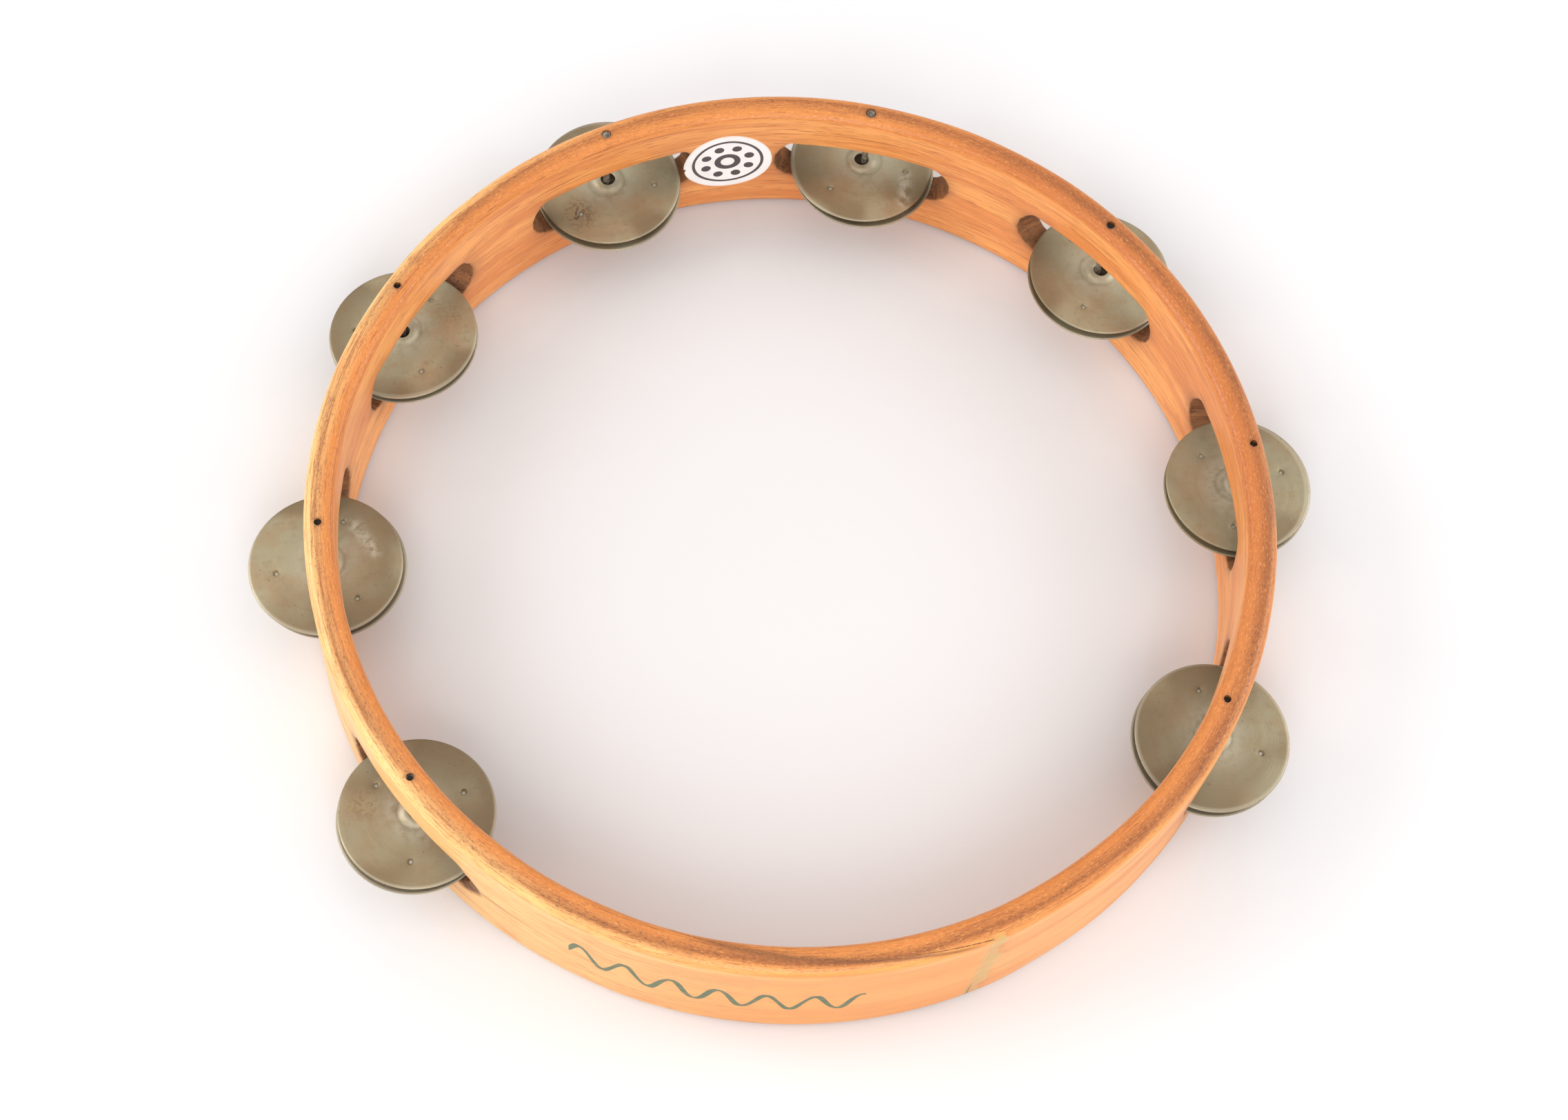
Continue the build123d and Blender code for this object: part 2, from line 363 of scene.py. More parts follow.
def settle(points):
    """Moves points of the wood, or on it, by the strip's slight unevenness, which dies out at the seam."""
    angle = np.arctan2(points[:, 1], points[:, 0])
    radial = np.hypot(points[:, 0], points[:, 1])
    near_rim = smooth(np.abs(points[:, 2] - HEIGHT / 2), HEIGHT / 2 - 4 * MM, HEIGHT / 2)
    middle = (SEAM_IN + SEAM_OUT) / 2
    half_seam = (SEAM_OUT - SEAM_IN) / 2
    from_seam = np.abs(wrapped(angle - middle))
    free = smooth(from_seam, half_seam + math.radians(2), half_seam + math.radians(9))
    sway = SWAY * waves(angle, 11, 9, 2) + WRINKLE * waves(angle + points[:, 2] * 30, 12, 12, 14)
    rise = RISE * waves(angle, 13, 14, 5) * near_rim
    inwards = 1 + free * (sway - SHRINKAGE) / radial
    points[:, 0] *= inwards
    points[:, 1] *= inwards
    points[:, 2] += free * (rise - RISE * near_rim * np.sign(points[:, 2] - HEIGHT / 2))
    return points


def slot_distance(points):
    """Distance of each point from the nearest slot's outline, and how near it is to a slot's end."""
    angle = np.arctan2(points[:, 1], points[:, 0])
    nearest = np.full(len(points), 1.0)
    endness = np.zeros(len(points))
    for number in STATIONS:
        offset = wrapped(angle - ANGLES[number])
        tangent = np.hypot(points[:, 0], points[:, 1]) * np.sin(offset)
        beyond = np.maximum(np.abs(tangent) - SLOT_STRAIGHT, 0)
        distance = np.abs(np.hypot(beyond, points[:, 2] - SLOT_MIDDLE) - SLOT_RADIUS)
        here = (np.abs(offset) < HALF_PITCH) & (distance < nearest)
        nearest = np.where(here, distance, nearest)
        endness = np.where(here, smooth(np.abs(tangent), 11 * MM, 19 * MM), endness)
    return nearest, endness


def build_hoop(material):
    """The bent wooden strip, with its slots, nail holes and scarf joint."""
    patches = Patches()
    around = np.arange(0, 2 * math.pi - STEP / 2, STEP)
    for top in (False, True):
        patches.grid(np.array([circle_points(r, around, z) for r, z in rim_section(top)]), closed=True)
    for number in STATIONS:
        slot_patch(patches, number)
    # the grip, from the last slot's stretch round to the first slot's
    first = CELLS[8] + HALF_PITCH
    last = CELLS[1] - HALF_PITCH + 2 * math.pi
    grip = np.linspace(first, last, round((last - first) / STEP) + 1)
    heights = np.linspace(EDGE, HEIGHT - EDGE, ROWS + 1)
    for radius in (OUTER, INNER):
        patches.grid(np.array([circle_points(radius, grip, z) for z in heights]))
    hoop = new_object("hoop_wood", patches.mesh("hoop_wood", weld=5e-6), material)
    points = settle(vertex_array(hoop.data))
    hoop.data.vertices.foreach_set("co", points.astype(np.float32).ravel())
    cut(hoop, [hole_cutter(n) for n in STATIONS] + [seam_cutter()])
    hoop.data.shade_smooth()
    hoop.data.set_sharp_from_angle(angle=math.radians(42))
    points = vertex_array(hoop.data)
    points = 2 * points - settle(points.copy())  # close to where the points were before settling
    distance, endness = slot_distance(points)
    radial = np.hypot(points[:, 0], points[:, 1])
    inside = smooth(np.minimum(radial - INNER, OUTER - radial), 0.08 * MM, 0.5 * MM)
    level = smooth(np.abs(points[:, 2] - SLOT_MIDDLE), SLOT_RADIUS + 3 * MM, SLOT_RADIUS + 2 * MM)
    in_slot = inside * level * smooth(distance, 5 * MM, 4 * MM)
    put_attribute(hoop.data, "slot_wall", in_slot)
    put_attribute(hoop.data, "slot_end", endness)
    put_attribute(hoop.data, "slot_near", np.exp(-distance / SCORCH_REACH))
    past_holes = []
    for number, (x, y) in NAIL_PLACES.items():
        mouth = MOUTHS.get(number, CLOSED_MOUTH) * MM
        past_holes.append(np.hypot(points[:, 0] - x, points[:, 1] - y) - mouth)
    past_hole = np.maximum(np.min(past_holes, axis=0), 0)
    put_attribute(hoop.data, "nail_near", np.exp(-past_hole / HOLE_SHADE_REACH))
    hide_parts("hoop")
    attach(hoop, "hoop")


# ---------------------------------------------------------------- jingles
# Distances in a jingle are in millimetres, in the pair's own frame: height 0 is the pair's middle.
SHEET = 0.5
HOLE_RADIUS = 2.0
RIM_RADIUS = JINGLE_RADIUS / MM
PAIR_GAP = 1.9
DOME_RISE = 1.05
DOME_RADIUS = (RIM_RADIUS**2 + DOME_RISE**2) / (2 * DOME_RISE)
BOSS_RISE = 0.62
BOSS_FOOT = 4.9
BOSS_TOP = 2.7
DIMPLE_DISTANCE = 13.2
DIMPLE_RADIUS = 0.8
DIMPLE_FLAT = 0.25
DIMPLE_TIP = 0.2
DIMPLE_COUNT = 3
DIMPLE_TURN = 0.12  # half the finely meshed patch at a dimple, in radians round the disc and in mm across
DIMPLE_MARGIN = 1.5
DIP_DEPTH = 0.22  # the wide shallow dip that a dimple's punch leaves round it
DIP_REACH = 1.5
WARP = 0.05  # slow waves of a jingle's rim
RIPPLE = 0.012  # rings left by the press
TURNS = (8.0, 10.0, 81.0, 27.0, 2.0, 26.0, 9.0, 47.0)  # each pair's turn on its nail, in degrees
# shift of each jingle from its slot's middle, along x and y; its hole leaves its nail 1.1 mm to move
UPPER_SHIFTS = (
    (-0.1, -0.2), (1.6, 0.1), (0.7, -0.4), (-0.9, 0.0),
    (0.5, 0.4), (0.0, -0.85), (-0.1, -0.45), (0.2, -0.4),
)
LOWER_SHIFTS = (
    (-0.7, -0.5), (1.4, -0.4), (0.4, -0.8), (-0.1, -0.45),
    (0.5, -0.45), (0.1, -0.75), (0.8, -0.4), (-0.4, -0.9),
)
# lean of each pair, in degrees: how far its outer edge is down, and its turn about the outward direction
LEANS = ((3.0, -0.3), (2.2, 0.5), (3.5, 0.4), (3.0, 0.2), (1.3, -0.5), (3.5, -0.3), (0.6, 0.1), (1.2, 0.5))
SPREADS = (1.012, 0.98, 0.97, 0.985, 0.995, 0.99, 0.995, 0.99)  # each pair's width against the usual one
LOWER_LEAN = 0.9  # a lower jingle's share of its pair's lean


def sheet_height(radius, angle, dimples, seed):
    """Height of a jingle's inner face above the middle of its pair."""
    dome = np.sqrt(DOME_RADIUS**2 - radius**2) - (DOME_RADIUS - DOME_RISE)
    boss = BOSS_RISE * smooth(radius, BOSS_FOOT, BOSS_TOP)
    warp = WARP * waves(angle, seed, 3, 2) * (radius / RIM_RADIUS) ** 2
    ripple = RIPPLE * np.sin(radius * 2.1 + waves(angle, seed + 1, 3)) * smooth(radius, 5, 8)
    height = PAIR_GAP / 2 + dome + boss + warp + ripple
    x, y = radius * np.cos(angle), radius * np.sin(angle)
    for dimple in dimples:
        reach = np.hypot(x - DIMPLE_DISTANCE * math.cos(dimple), y - DIMPLE_DISTANCE * math.sin(dimple))
        pit = smooth(reach, DIMPLE_RADIUS, DIMPLE_FLAT)
        dip = DIP_DEPTH * np.exp(-((reach / DIP_REACH) ** 2))
        height = (height - dip) * (1 - pit) + DIMPLE_TIP * pit
    return height


def jingle_mesh(name, dimples, seed, up):
    """A dished disc of sheet metal with a raised boss, an oversize hole and three punched dimples."""
    angles = set(np.round(even_turns(72), 5))
    for dimple in dimples:
        fine_turns = dimple + np.linspace(-DIMPLE_TURN, DIMPLE_TURN, 17)
        angles -= {a for a in angles if abs(wrapped(a - dimple)) < DIMPLE_TURN + 0.01}
        angles |= {round(float(turn % (2 * math.pi)), 5) for turn in fine_turns}
    angle = np.array(sorted(angles))
    fine = np.linspace(DIMPLE_DISTANCE - DIMPLE_MARGIN, DIMPLE_DISTANCE + DIMPLE_MARGIN, 15)
    radii = [HOLE_RADIUS + 0.12, 2.5, 2.9, 3.2, 3.5, 3.8, 4.1, 4.4, 4.7, 5.0, 5.6, 6.8, 8.3, 9.8, 11.0]
    radii += list(fine) + [15.6, 16.8, 17.8, 18.6, 19.2, 19.8, RIM_RADIUS - 0.16]
    wear_and_left_light = RIM_RADIUS - 0.05
    edge = [(wear_and_left_light, 0.1), (RIM_RADIUS, 0.25), (RIM_RADIUS, SHEET - 0.25), (wear_and_left_light, SHEET - 0.1)]
    bore = [(HOLE_RADIUS + 0.03, SHEET - 0.1), (HOLE_RADIUS, SHEET / 2), (HOLE_RADIUS + 0.03, 0.1)]
    section = [(r, 0.0) for r in radii] + edge + [(r, SHEET) for r in reversed(radii)] + bore
    rows = []
    for radius, lift in section + section[:1]:
        height = sheet_height(np.full(len(angle), radius), angle, dimples, seed) + lift
        rows.append(circle_points(radius, angle, up * height) * MM)
    patches = Patches()
    patches.grid(np.array(rows), closed=True)
    made = patches.mesh(name)
    made.set_sharp_from_angle(angle=math.radians(50))
    points = vertex_array(made) / MM
    away = [
        np.hypot(points[:, 0] - DIMPLE_DISTANCE * math.cos(d), points[:, 1] - DIMPLE_DISTANCE * math.sin(d))
        for d in dimples
    ]
    put_attribute(made, "from_dimple", np.minimum(np.min(away, axis=0), 5))
    return made


def build_jingle(number, side, up, material):
    """One jingle, turned on its nail and leaning a little as it lies."""
    node = f"{side}_jingle_{number}"
    low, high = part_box(node)
    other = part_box(f"{'lower' if up > 0 else 'upper'}_jingle_{number}")
    pair_middle = (low.z + other[1].z) / 2 if up > 0 else (high.z + other[0].z) / 2
    turn = ANGLES[number] + math.radians(TURNS[number - 1])
    dimples = [(turn + k * 2 * math.pi / DIMPLE_COUNT) % (2 * math.pi) for k in range(DIMPLE_COUNT)]
    seed = 100 + 2 * number + (up > 0)
    made = new_object(f"{node}_metal", jingle_mesh(node, dimples, seed, up), material)
    lean_out, lean_along = LEANS[number - 1]
    axis_out = Vector((math.cos(ANGLES[number]), math.sin(ANGLES[number]), 0))
    axis_along = Vector((0, 0, 1)).cross(axis_out)
    share = 1.0 if up > 0 else LOWER_LEAN
    tipped = Quaternion(axis_along, math.radians(lean_out * share))
    rolled = Quaternion(axis_out, math.radians(lean_along * share))
    shift = Vector((*(UPPER_SHIFTS if up > 0 else LOWER_SHIFTS)[number - 1], 0)) * MM
    middle = axis_out * MIDDLE + shift + Vector((0, 0, pair_middle))
    place = Matrix.Translation(middle) @ (tipped @ rolled).to_matrix().to_4x4()
    spread = Matrix.Diagonal((SPREADS[number - 1], SPREADS[number - 1], 1, 1))
    made.data.transform(place @ spread)
    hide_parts(node)
    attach(made, node)


# ---------------------------------------------------------------- nails
# Distances in a nail are in millimetres.
SHANK_RADIUS = 0.9
GRIP_RADIUS = 0.84
GRIP_SPACING = 0.7
GRIP_COUNT = 5


def build_nail(number, material):
    """A wire nail: a slightly dished head, gripper rings under it, a round shank and a point."""
    low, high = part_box(f"nail_{number}")
    top, tip = high.z / MM, low.z / MM
    section = [(0.0, top - 0.12), (0.45, top - 0.1), (0.85, top - 0.02), (1.08, top), (1.18, top - 0.1)]
    section += [(1.2, top - 0.4), (1.0, top - 0.75), (SHANK_RADIUS, top - 0.95)]
    for ring in range(GRIP_COUNT):
        for radius, drop in ((SHANK_RADIUS, 1.4), (GRIP_RADIUS, 1.6), (SHANK_RADIUS, 1.8)):
            section.append((radius, top - drop - GRIP_SPACING * ring))
    section += [(SHANK_RADIUS, z) for z in np.linspace(top - 6, tip + 2.6, 8)]
    section += [(0.82, tip + 2.2), (0.5, tip + 1.2), (0.2, tip + 0.4), (0.0, tip)]
    rows = [circle_points(radius * MM, even_turns(20), height * MM) for radius, height in section]
    patches = Patches()
    patches.grid(np.array(rows) + [*NAIL_PLACES[number], 0], closed=True)
    made = new_object(f"nail_{number}_steel", patches.mesh(f"nail_{number}", weld=1e-6), material)
    made.data.set_sharp_from_angle(angle=math.radians(40))
    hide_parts(f"nail_{number}")
    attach(made, "hoop")


# ---------------------------------------------------------------- label
PAPER = 0.12 * MM
NICK_DEPTH = 0.07  # the nick in the label's edge, as a share of its radius, and where it is
NICK_WIDTH = 0.035
NICK_TURN = math.pi + 0.12
LIFT = 0.25 * MM  # how far the edge over the slot curls off the wood


def build_label(material):
    """Round paper label on the inner face; its left edge bridges a slot's end and is nicked there."""
    turns = even_turns(120)
    shares = np.array([0.0, 0.2, 0.4, 0.6, 0.75, 0.88, 0.96, 1.0])
    nick = NICK_DEPTH * np.exp(-(((turns - NICK_TURN) / NICK_WIDTH) ** 2))
    wobble = 1 - nick + 0.004 * waves(turns, 5, 6, 3)

    def sheet(depth):
        rows = []
        for share in shares:
            reach = LABEL_RADIUS * share * (1 + (wobble - 1) * share**6)
            along = reach * np.cos(turns)
            up = LABEL_HEIGHT + reach * np.sin(turns)
            lift_and_its_shadow = LIFT * smooth(-along / LABEL_RADIUS, 0.72, 1.0)
            radius = INNER - depth - lift_and_its_shadow - 0.02 * MM
            angle = LABEL_ANGLE - along / INNER
            rows.append(circle_points(radius, angle, up))
        return rows

    grid = np.array(sheet(PAPER) + sheet(0.0)[::-1])
    patches = Patches()
    patches.grid(grid, closed=True)
    made = new_object("label_paper", patches.mesh("label_paper", weld=1e-6), material)
    made.data.set_sharp_from_angle(angle=math.radians(50))
    points = vertex_array(made.data)
    angle = np.arctan2(points[:, 1], points[:, 0])
    put_attribute(made.data, "print_x", -(angle - LABEL_ANGLE) * INNER / LABEL_RADIUS)
    put_attribute(made.data, "print_y", (points[:, 2] - LABEL_HEIGHT) / LABEL_RADIUS)
    made.data.vertices.foreach_set("co", settle(points).astype(np.float32).ravel())
    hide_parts("round_label")
    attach(made, "hoop")


# ---------------------------------------------------------------- material graphs
def tint(red, green, blue):
    """A colour from 0-255 screen values, as the linear colour that shaders take."""
    linear = []
    for value in (red, green, blue):
        share = value / 255
        linear.append(share / 12.92 if share <= 0.04045 else ((share + 0.055) / 1.055) ** 2.4)
    return (*linear, 1.0)


class Graph:
    """Short names for building a material's nodes. The functions below call their graph g."""

    def __init__(self, name):
        self.material = bpy.data.materials.new(name)
        self.material.use_nodes = True
        self.tree = self.material.node_tree
        self.tree.nodes.clear()
        self.colour = None
        self.shader = self.node("ShaderNodeBsdfPrincipled")
        output = self.node("ShaderNodeOutputMaterial")
        self.tree.links.new(self.shader.outputs[0], output.inputs[0])

    def node(self, kind, **settings):
        made = self.tree.nodes.new(kind)
        for key, value in settings.items():
            setattr(made, key, value)
        return made

    def feed(self, socket, value):
        if isinstance(value, bpy.types.NodeSocket):
            self.tree.links.new(value, socket)
        else:
            socket.default_value = value

    def math(self, operation, first, second=0.0):
        made = self.node("ShaderNodeMath", operation=operation)
        for socket, value in zip(made.inputs, (first, second)):
            self.feed(socket, value)
        return made.outputs[0]

    def add(self, first, second):
        return self.math("ADD", first, second)

    def subtract(self, first, second):
        return self.math("SUBTRACT", first, second)

    def times(self, first, *others):
        for other in others:
            first = self.math("MULTIPLY", first, other)
        return first

    def divide(self, first, second):
        return self.math("DIVIDE", first, second)

    def largest(self, first, second):
        return self.math("MAXIMUM", first, second)

    def size(self, value):
        return self.math("ABSOLUTE", value)

    def length(self, x, y):
        return self.math("SQRT", self.add(self.times(x, x), self.times(y, y)))

    def step(self, value, low, high, bottom=0.0, top=1.0):
        """Smooth step of a value between two limits."""
        made = self.node("ShaderNodeMapRange", interpolation_type="SMOOTHSTEP")
        for key, number in (("Value", value), ("From Min", low), ("From Max", high)):
            self.feed(made.inputs[key], number)
        self.feed(made.inputs["To Min"], bottom)
        self.feed(made.inputs["To Max"], top)
        return made.outputs["Result"]

    def bell(self, value, centre, width):
        """1 where the value is at the centre, falling off on both sides."""
        offset = self.divide(self.subtract(value, centre), width)
        return self.math("POWER", math.e, self.times(offset, offset, -1.0))

    def vector(self, x, y, z):
        made = self.node("ShaderNodeCombineXYZ")
        for socket, value in zip(made.inputs, (x, y, z)):
            self.feed(socket, value)
        return made.outputs[0]

    def noise(self, vector, scale=1.0, detail=3.0, roughness=0.55, w=None, distortion=0.0):
        made = self.node("ShaderNodeTexNoise", noise_dimensions="3D" if w is None else "4D")
        self.feed(made.inputs["Vector"], vector)
        if w is not None:
            self.feed(made.inputs["W"], w)
        for key, value in (("Scale", scale), ("Detail", detail), ("Roughness", roughness)):
            self.feed(made.inputs[key], value)
        self.feed(made.inputs["Distortion"], distortion)
        return made.outputs["Fac"]

    def mix(self, share, first, second):
        made = self.node("ShaderNodeMix", data_type="RGBA")
        self.feed(made.inputs[0], share)
        self.feed(made.inputs[6], first)
        self.feed(made.inputs[7], second)
        return made.outputs[2]

    def paint(self, share, colour):
        """Mixes a share of a colour into the surface's colour so far."""
        self.colour = self.mix(share, self.colour, colour)

    def place(self):
        """The point in the object's own frame, as x, y and z."""
        made = self.node("ShaderNodeTexCoord")
        split = self.node("ShaderNodeSeparateXYZ")
        self.tree.links.new(made.outputs["Object"], split.inputs[0])
        return made.outputs["Object"], split.outputs[0], split.outputs[1], split.outputs[2]

    def attribute(self, name):
        return self.node("ShaderNodeAttribute", attribute_name=name).outputs["Fac"]

    def bump(self, height, strength, distance, normal=None):
        made = self.node("ShaderNodeBump")
        self.feed(made.inputs["Height"], height)
        made.inputs["Strength"].default_value = strength
        made.inputs["Distance"].default_value = distance
        if normal is not None:
            self.tree.links.new(normal, made.inputs["Normal"])
        return made.outputs[0]

    def set(self, **values):
        for key, value in values.items():
            self.feed(self.shader.inputs[key.replace("_", " ")], value)


# ---------------------------------------------------------------- wood
OUTER_PALE = tint(243, 166, 85)
OUTER_DEEP = tint(226, 134, 58)
# pale colour painted as light, on the outer face's lit left side and along its upper edge
PAINTED_HIGHLIGHT = tint(252, 206, 134)
INNER_PALE = tint(248, 174, 98)
INNER_DEEP = tint(222, 136, 68)
RIM_TONE = tint(204, 122, 52)
RIM_STAIN = tint(150, 84, 36)
RIM_AMBER = tint(178, 92, 34)
PIT = tint(112, 64, 30)
FLECK = tint(240, 176, 104)
BURNT = tint(48, 25, 13)
BURNT_PALE = tint(138, 80, 40)
SMUDGE = tint(148, 96, 56)
PORE = tint(160, 88, 44)
GLUE_SMEAR = tint(204, 170, 102)
MARKER_GREEN = tint(50, 92, 60)
MARKER_START = math.radians(-123.0)  # the marker's wave along the outer face, with its lengths in mm
MARKER_LENGTH = 76.0
MARKER_LEVEL = 23.0
MARKER_SLOPE = -0.03
MARKER_WAVE = 0.52
MARKER_RISE = 5.0


def wood_material():
    """Bent, clear-finished hardwood: grain round the ring, stained rims, burnt slots, glue and marker, with
    painted light on the outer face's left side and upper edge, and painted shade in the nail holes and at
    the seam's foot.
    """
    g = Graph("bent_wood")
    _, x, y, z = g.place()
    radius = g.length(x, y)
    cosine = g.divide(x, radius)
    sine = g.divide(y, radius)
    depth = g.divide(g.subtract(radius, INNER), THICKNESS)

    def grain(length, width, detail, roughness, drift=0.0):
        """Noise stretched round the ring: features of a length along the grain and a width across it."""
        turns = MIDDLE / length
        vector = g.vector(g.times(cosine, turns), g.times(sine, turns), g.times(z, 1 / width))
        return g.noise(vector, 1.0, detail, roughness, w=g.times(radius, 1 / width), distortion=drift)

    bands = grain(85 * MM, 8 * MM, 3.0, 0.5, 0.4)
    fibres = grain(16 * MM, 0.55 * MM, 4.0, 0.65)
    lines = grain(34 * MM, 0.42 * MM, 1.0, 0.5)
    pores = grain(6.0 * MM, 0.34 * MM, 2.0, 0.5)
    blotches = grain(14 * MM, 6 * MM, 3.0, 0.6)
    figure = g.add(g.times(bands, 0.6), g.times(fibres, 0.4))

    def wood(pale, deep):
        return g.mix(g.step(figure, 0.41, 0.60), deep, pale)

    # painted light: the pale outer band reaches further over the rims on the left, the side the strong left
    # lamp lights
    wear_and_left_light = g.times(g.largest(g.times(cosine, -1.0), 0.0), 0.24)
    edge = g.add(g.add(depth, wear_and_left_light), g.times(g.subtract(fibres, 0.5), 0.08))
    face = g.step(edge, 0.80, 0.96)
    from_middle = g.size(g.subtract(z, HEIGHT / 2))
    rim = g.step(from_middle, HEIGHT / 2 - 2.6 * MM, HEIGHT / 2 - 0.7 * MM)
    inner = g.mix(g.times(rim, g.step(edge, 0.9, 0.6, 0.3, 0.85)), wood(INNER_PALE, INNER_DEEP), RIM_TONE)
    outer = wood(OUTER_PALE, OUTER_DEEP)
    # painted light: the outer face is paler on its left side, where the strong left lamp falls
    lit_left_face = g.times(g.step(cosine, -0.05, -0.80), g.step(edge, 0.45, 0.95))
    g.colour = g.mix(face, inner, outer)
    g.paint(g.times(lit_left_face, g.step(fibres, 0.3, 0.7, 0.5, 0.9)), PAINTED_HIGHLIGHT)
    # a pale band just under the outer face's upper edge: painted highlight on the rounded edge, and some
    # wear
    edge_highlight_and_wear = g.times(g.bell(z, HEIGHT - 3.6 * MM, 1.5 * MM), face)
    g.paint(g.times(edge_highlight_and_wear, g.step(bands, 0.38, 0.58, 0.15, 0.6)), PAINTED_HIGHLIGHT)
    g.paint(g.step(blotches, 0.48, 0.72, 0.0, 0.35), INNER_DEEP)
    g.paint(g.step(lines, 0.58, 0.69, 0.0, 0.60), PORE)
    g.paint(g.step(pores, 0.56, 0.68, 0.0, 0.62), PORE)

    # amber tone over the rims, deepest on the right side, and dark stain along the middle of the rims,
    # stronger on the right, wandering in and out
    sway = g.noise(g.vector(g.times(cosine, 1.7), g.times(sine, 1.7), g.times(z, 1.0)), 1.0, 1.0)
    centre = g.add(0.28, g.times(sway, 0.62))
    band = g.bell(depth, centre, 0.22)
    patchy = grain(34 * MM, 3.2 * MM, 3.0, 0.6)
    amber = g.times(g.step(cosine, 0.25, 0.75, 0.0, 0.55), g.step(sine, -0.7, 0.0, 0.5, 1.0))
    g.paint(g.times(rim, amber), RIM_AMBER)
    stain = g.times(rim, band, g.step(patchy, 0.30, 0.60, 0.45, 1.0))
    g.paint(g.times(stain, g.step(cosine, 0.2, 0.8, 0.60, 0.85)), RIM_STAIN)
    core = g.times(rim, g.bell(depth, g.add(centre, 0.05), 0.07))
    g.paint(g.times(core, g.step(patchy, 0.36, 0.58, 0.05, 0.65)), RIM_STAIN)
    pits = grain(1.0 * MM, 0.30 * MM, 2.0, 0.6)
    pitted = g.times(g.step(pits, 0.55, 0.66), g.add(0.15, g.times(stain, 0.6)))
    g.paint(g.times(pitted, rim), PIT)
    # pale flecks between the pits: paler wood fibres, partly painted glints on them
    g.paint(g.times(g.step(pits, 0.42, 0.33), rim, 0.35), FLECK)

    # scorched slot walls, frayed and smudged wood beside the slots' ends, painted shade inside the nail
    # holes and dirt round them
    wall = g.attribute("slot_wall")
    end = g.attribute("slot_end")
    near = g.attribute("slot_near")
    scorch = g.noise(g.vector(g.times(x, 170), g.times(y, 170), g.times(z, 1100)), 1.0, 3.0, 0.6)
    char = g.mix(g.step(scorch, 0.42, 0.64), BURNT, BURNT_PALE)
    g.paint(g.times(wall, g.add(0.40, g.times(end, 0.60))), char)
    fray = g.step(g.add(g.times(fibres, 0.5), g.times(blotches, 0.5)), 0.40, 0.60, 0.25, 1.0)
    g.paint(g.times(near, end, fray), SMUDGE)
    # painted shade: the nail holes' walls fully darkened, fading to dirt just round their mouths
    g.paint(g.times(g.attribute("nail_near"), rim, 0.75), PIT)

    # the scarf joint: its smear of glue on the outer face, a painted shadow at its foot, and dirt that has
    # crept into it on the rims
    angle = g.math("ARCTAN2", y, x)
    twist = g.times(g.subtract(g.divide(z, HEIGHT), 0.5), SEAM_TWIST)
    past_seam = g.times(g.subtract(angle, g.add(SEAM_OUT - 2 * math.pi, twist)), OUTER / MM)
    ragged = g.noise(g.vector(g.times(x, 300), g.times(y, 300), g.times(z, 300)), 1.0, 3.0, 0.6)
    shifted = g.add(past_seam, g.times(g.subtract(ragged, 0.5), 10.0))
    smear = g.times(g.step(shifted, -1.2, 0.4), g.step(shifted, 5.5, 3.0))
    g.paint(g.times(smear, face, g.step(ragged, 0.35, 0.6, 0.95, 0.55)), GLUE_SMEAR)
    outline = g.largest(g.bell(past_seam, -0.2, 0.35), g.times(g.bell(shifted, 5.0, 0.7), 0.7))
    g.paint(g.times(outline, face, g.step(fibres, 0.35, 0.6, 0.1, 0.5)), PORE)
    fresh = g.times(g.step(past_seam, 0.5, -0.5), g.step(past_seam, -90.0, -40.0), face)
    g.paint(g.times(fresh, 0.45), OUTER_PALE)
    ruddy = g.times(g.step(past_seam, 2.0, 6.0), g.step(past_seam, 80.0, 30.0), face)
    g.paint(g.times(ruddy, g.step(bands, 0.35, 0.6, 0.1, 0.6)), INNER_PALE)
    # painted shadow: a dark notch at the seam's foot, where the outer strip's end stands slightly proud
    lift_and_its_shadow = g.times(g.bell(past_seam, 0.25, 0.45), g.step(z, 12 * MM, 5 * MM))
    g.paint(g.times(lift_and_its_shadow, face, 0.85), PIT)
    share = g.divide(g.subtract(angle, g.add(SEAM_IN - 2 * math.pi, twist)), SEAM_OUT - SEAM_IN)
    off_seam = g.times(g.subtract(depth, share), THICKNESS / MM)
    creep = g.times(g.bell(off_seam, 0.35, g.step(share, 0.2, 0.9, 1.1, 0.35)), g.step(share, 0.02, 0.2))
    creep = g.times(creep, g.times(g.step(share, 1.0, 0.97), g.step(patchy, 0.32, 0.60, 0.35, 1.0)))
    g.paint(g.times(creep, rim, 0.7), PIT)

    # the marker's wave
    along = g.times(g.subtract(angle, MARKER_START), OUTER / MM)
    rise = g.times(g.math("SINE", g.times(along, MARKER_WAVE)), MARKER_RISE)
    wave = g.add(g.add(MARKER_LEVEL, g.times(along, MARKER_SLOPE)), rise)
    steep = g.times(g.math("COSINE", g.times(along, MARKER_WAVE)), MARKER_WAVE * MARKER_RISE)
    steep = g.math("SQRT", g.add(1.0, g.times(steep, steep)))
    off_line = g.divide(g.size(g.subtract(g.divide(z, MM), wave)), steep)
    thick = g.add(0.78, g.times(g.math("SINE", g.times(along, 0.9)), 0.2))
    ink = g.step(g.subtract(off_line, thick), 0.12, -0.12)
    ends = g.times(g.step(along, -0.4, 0.2), g.step(along, MARKER_LENGTH + 0.4, MARKER_LENGTH - 0.2))
    ink = g.times(ink, ends)
    ink = g.times(ink, g.step(fibres, 0.30, 0.46, 0.6, 0.95))
    g.paint(g.times(ink, face), MARKER_GREEN)

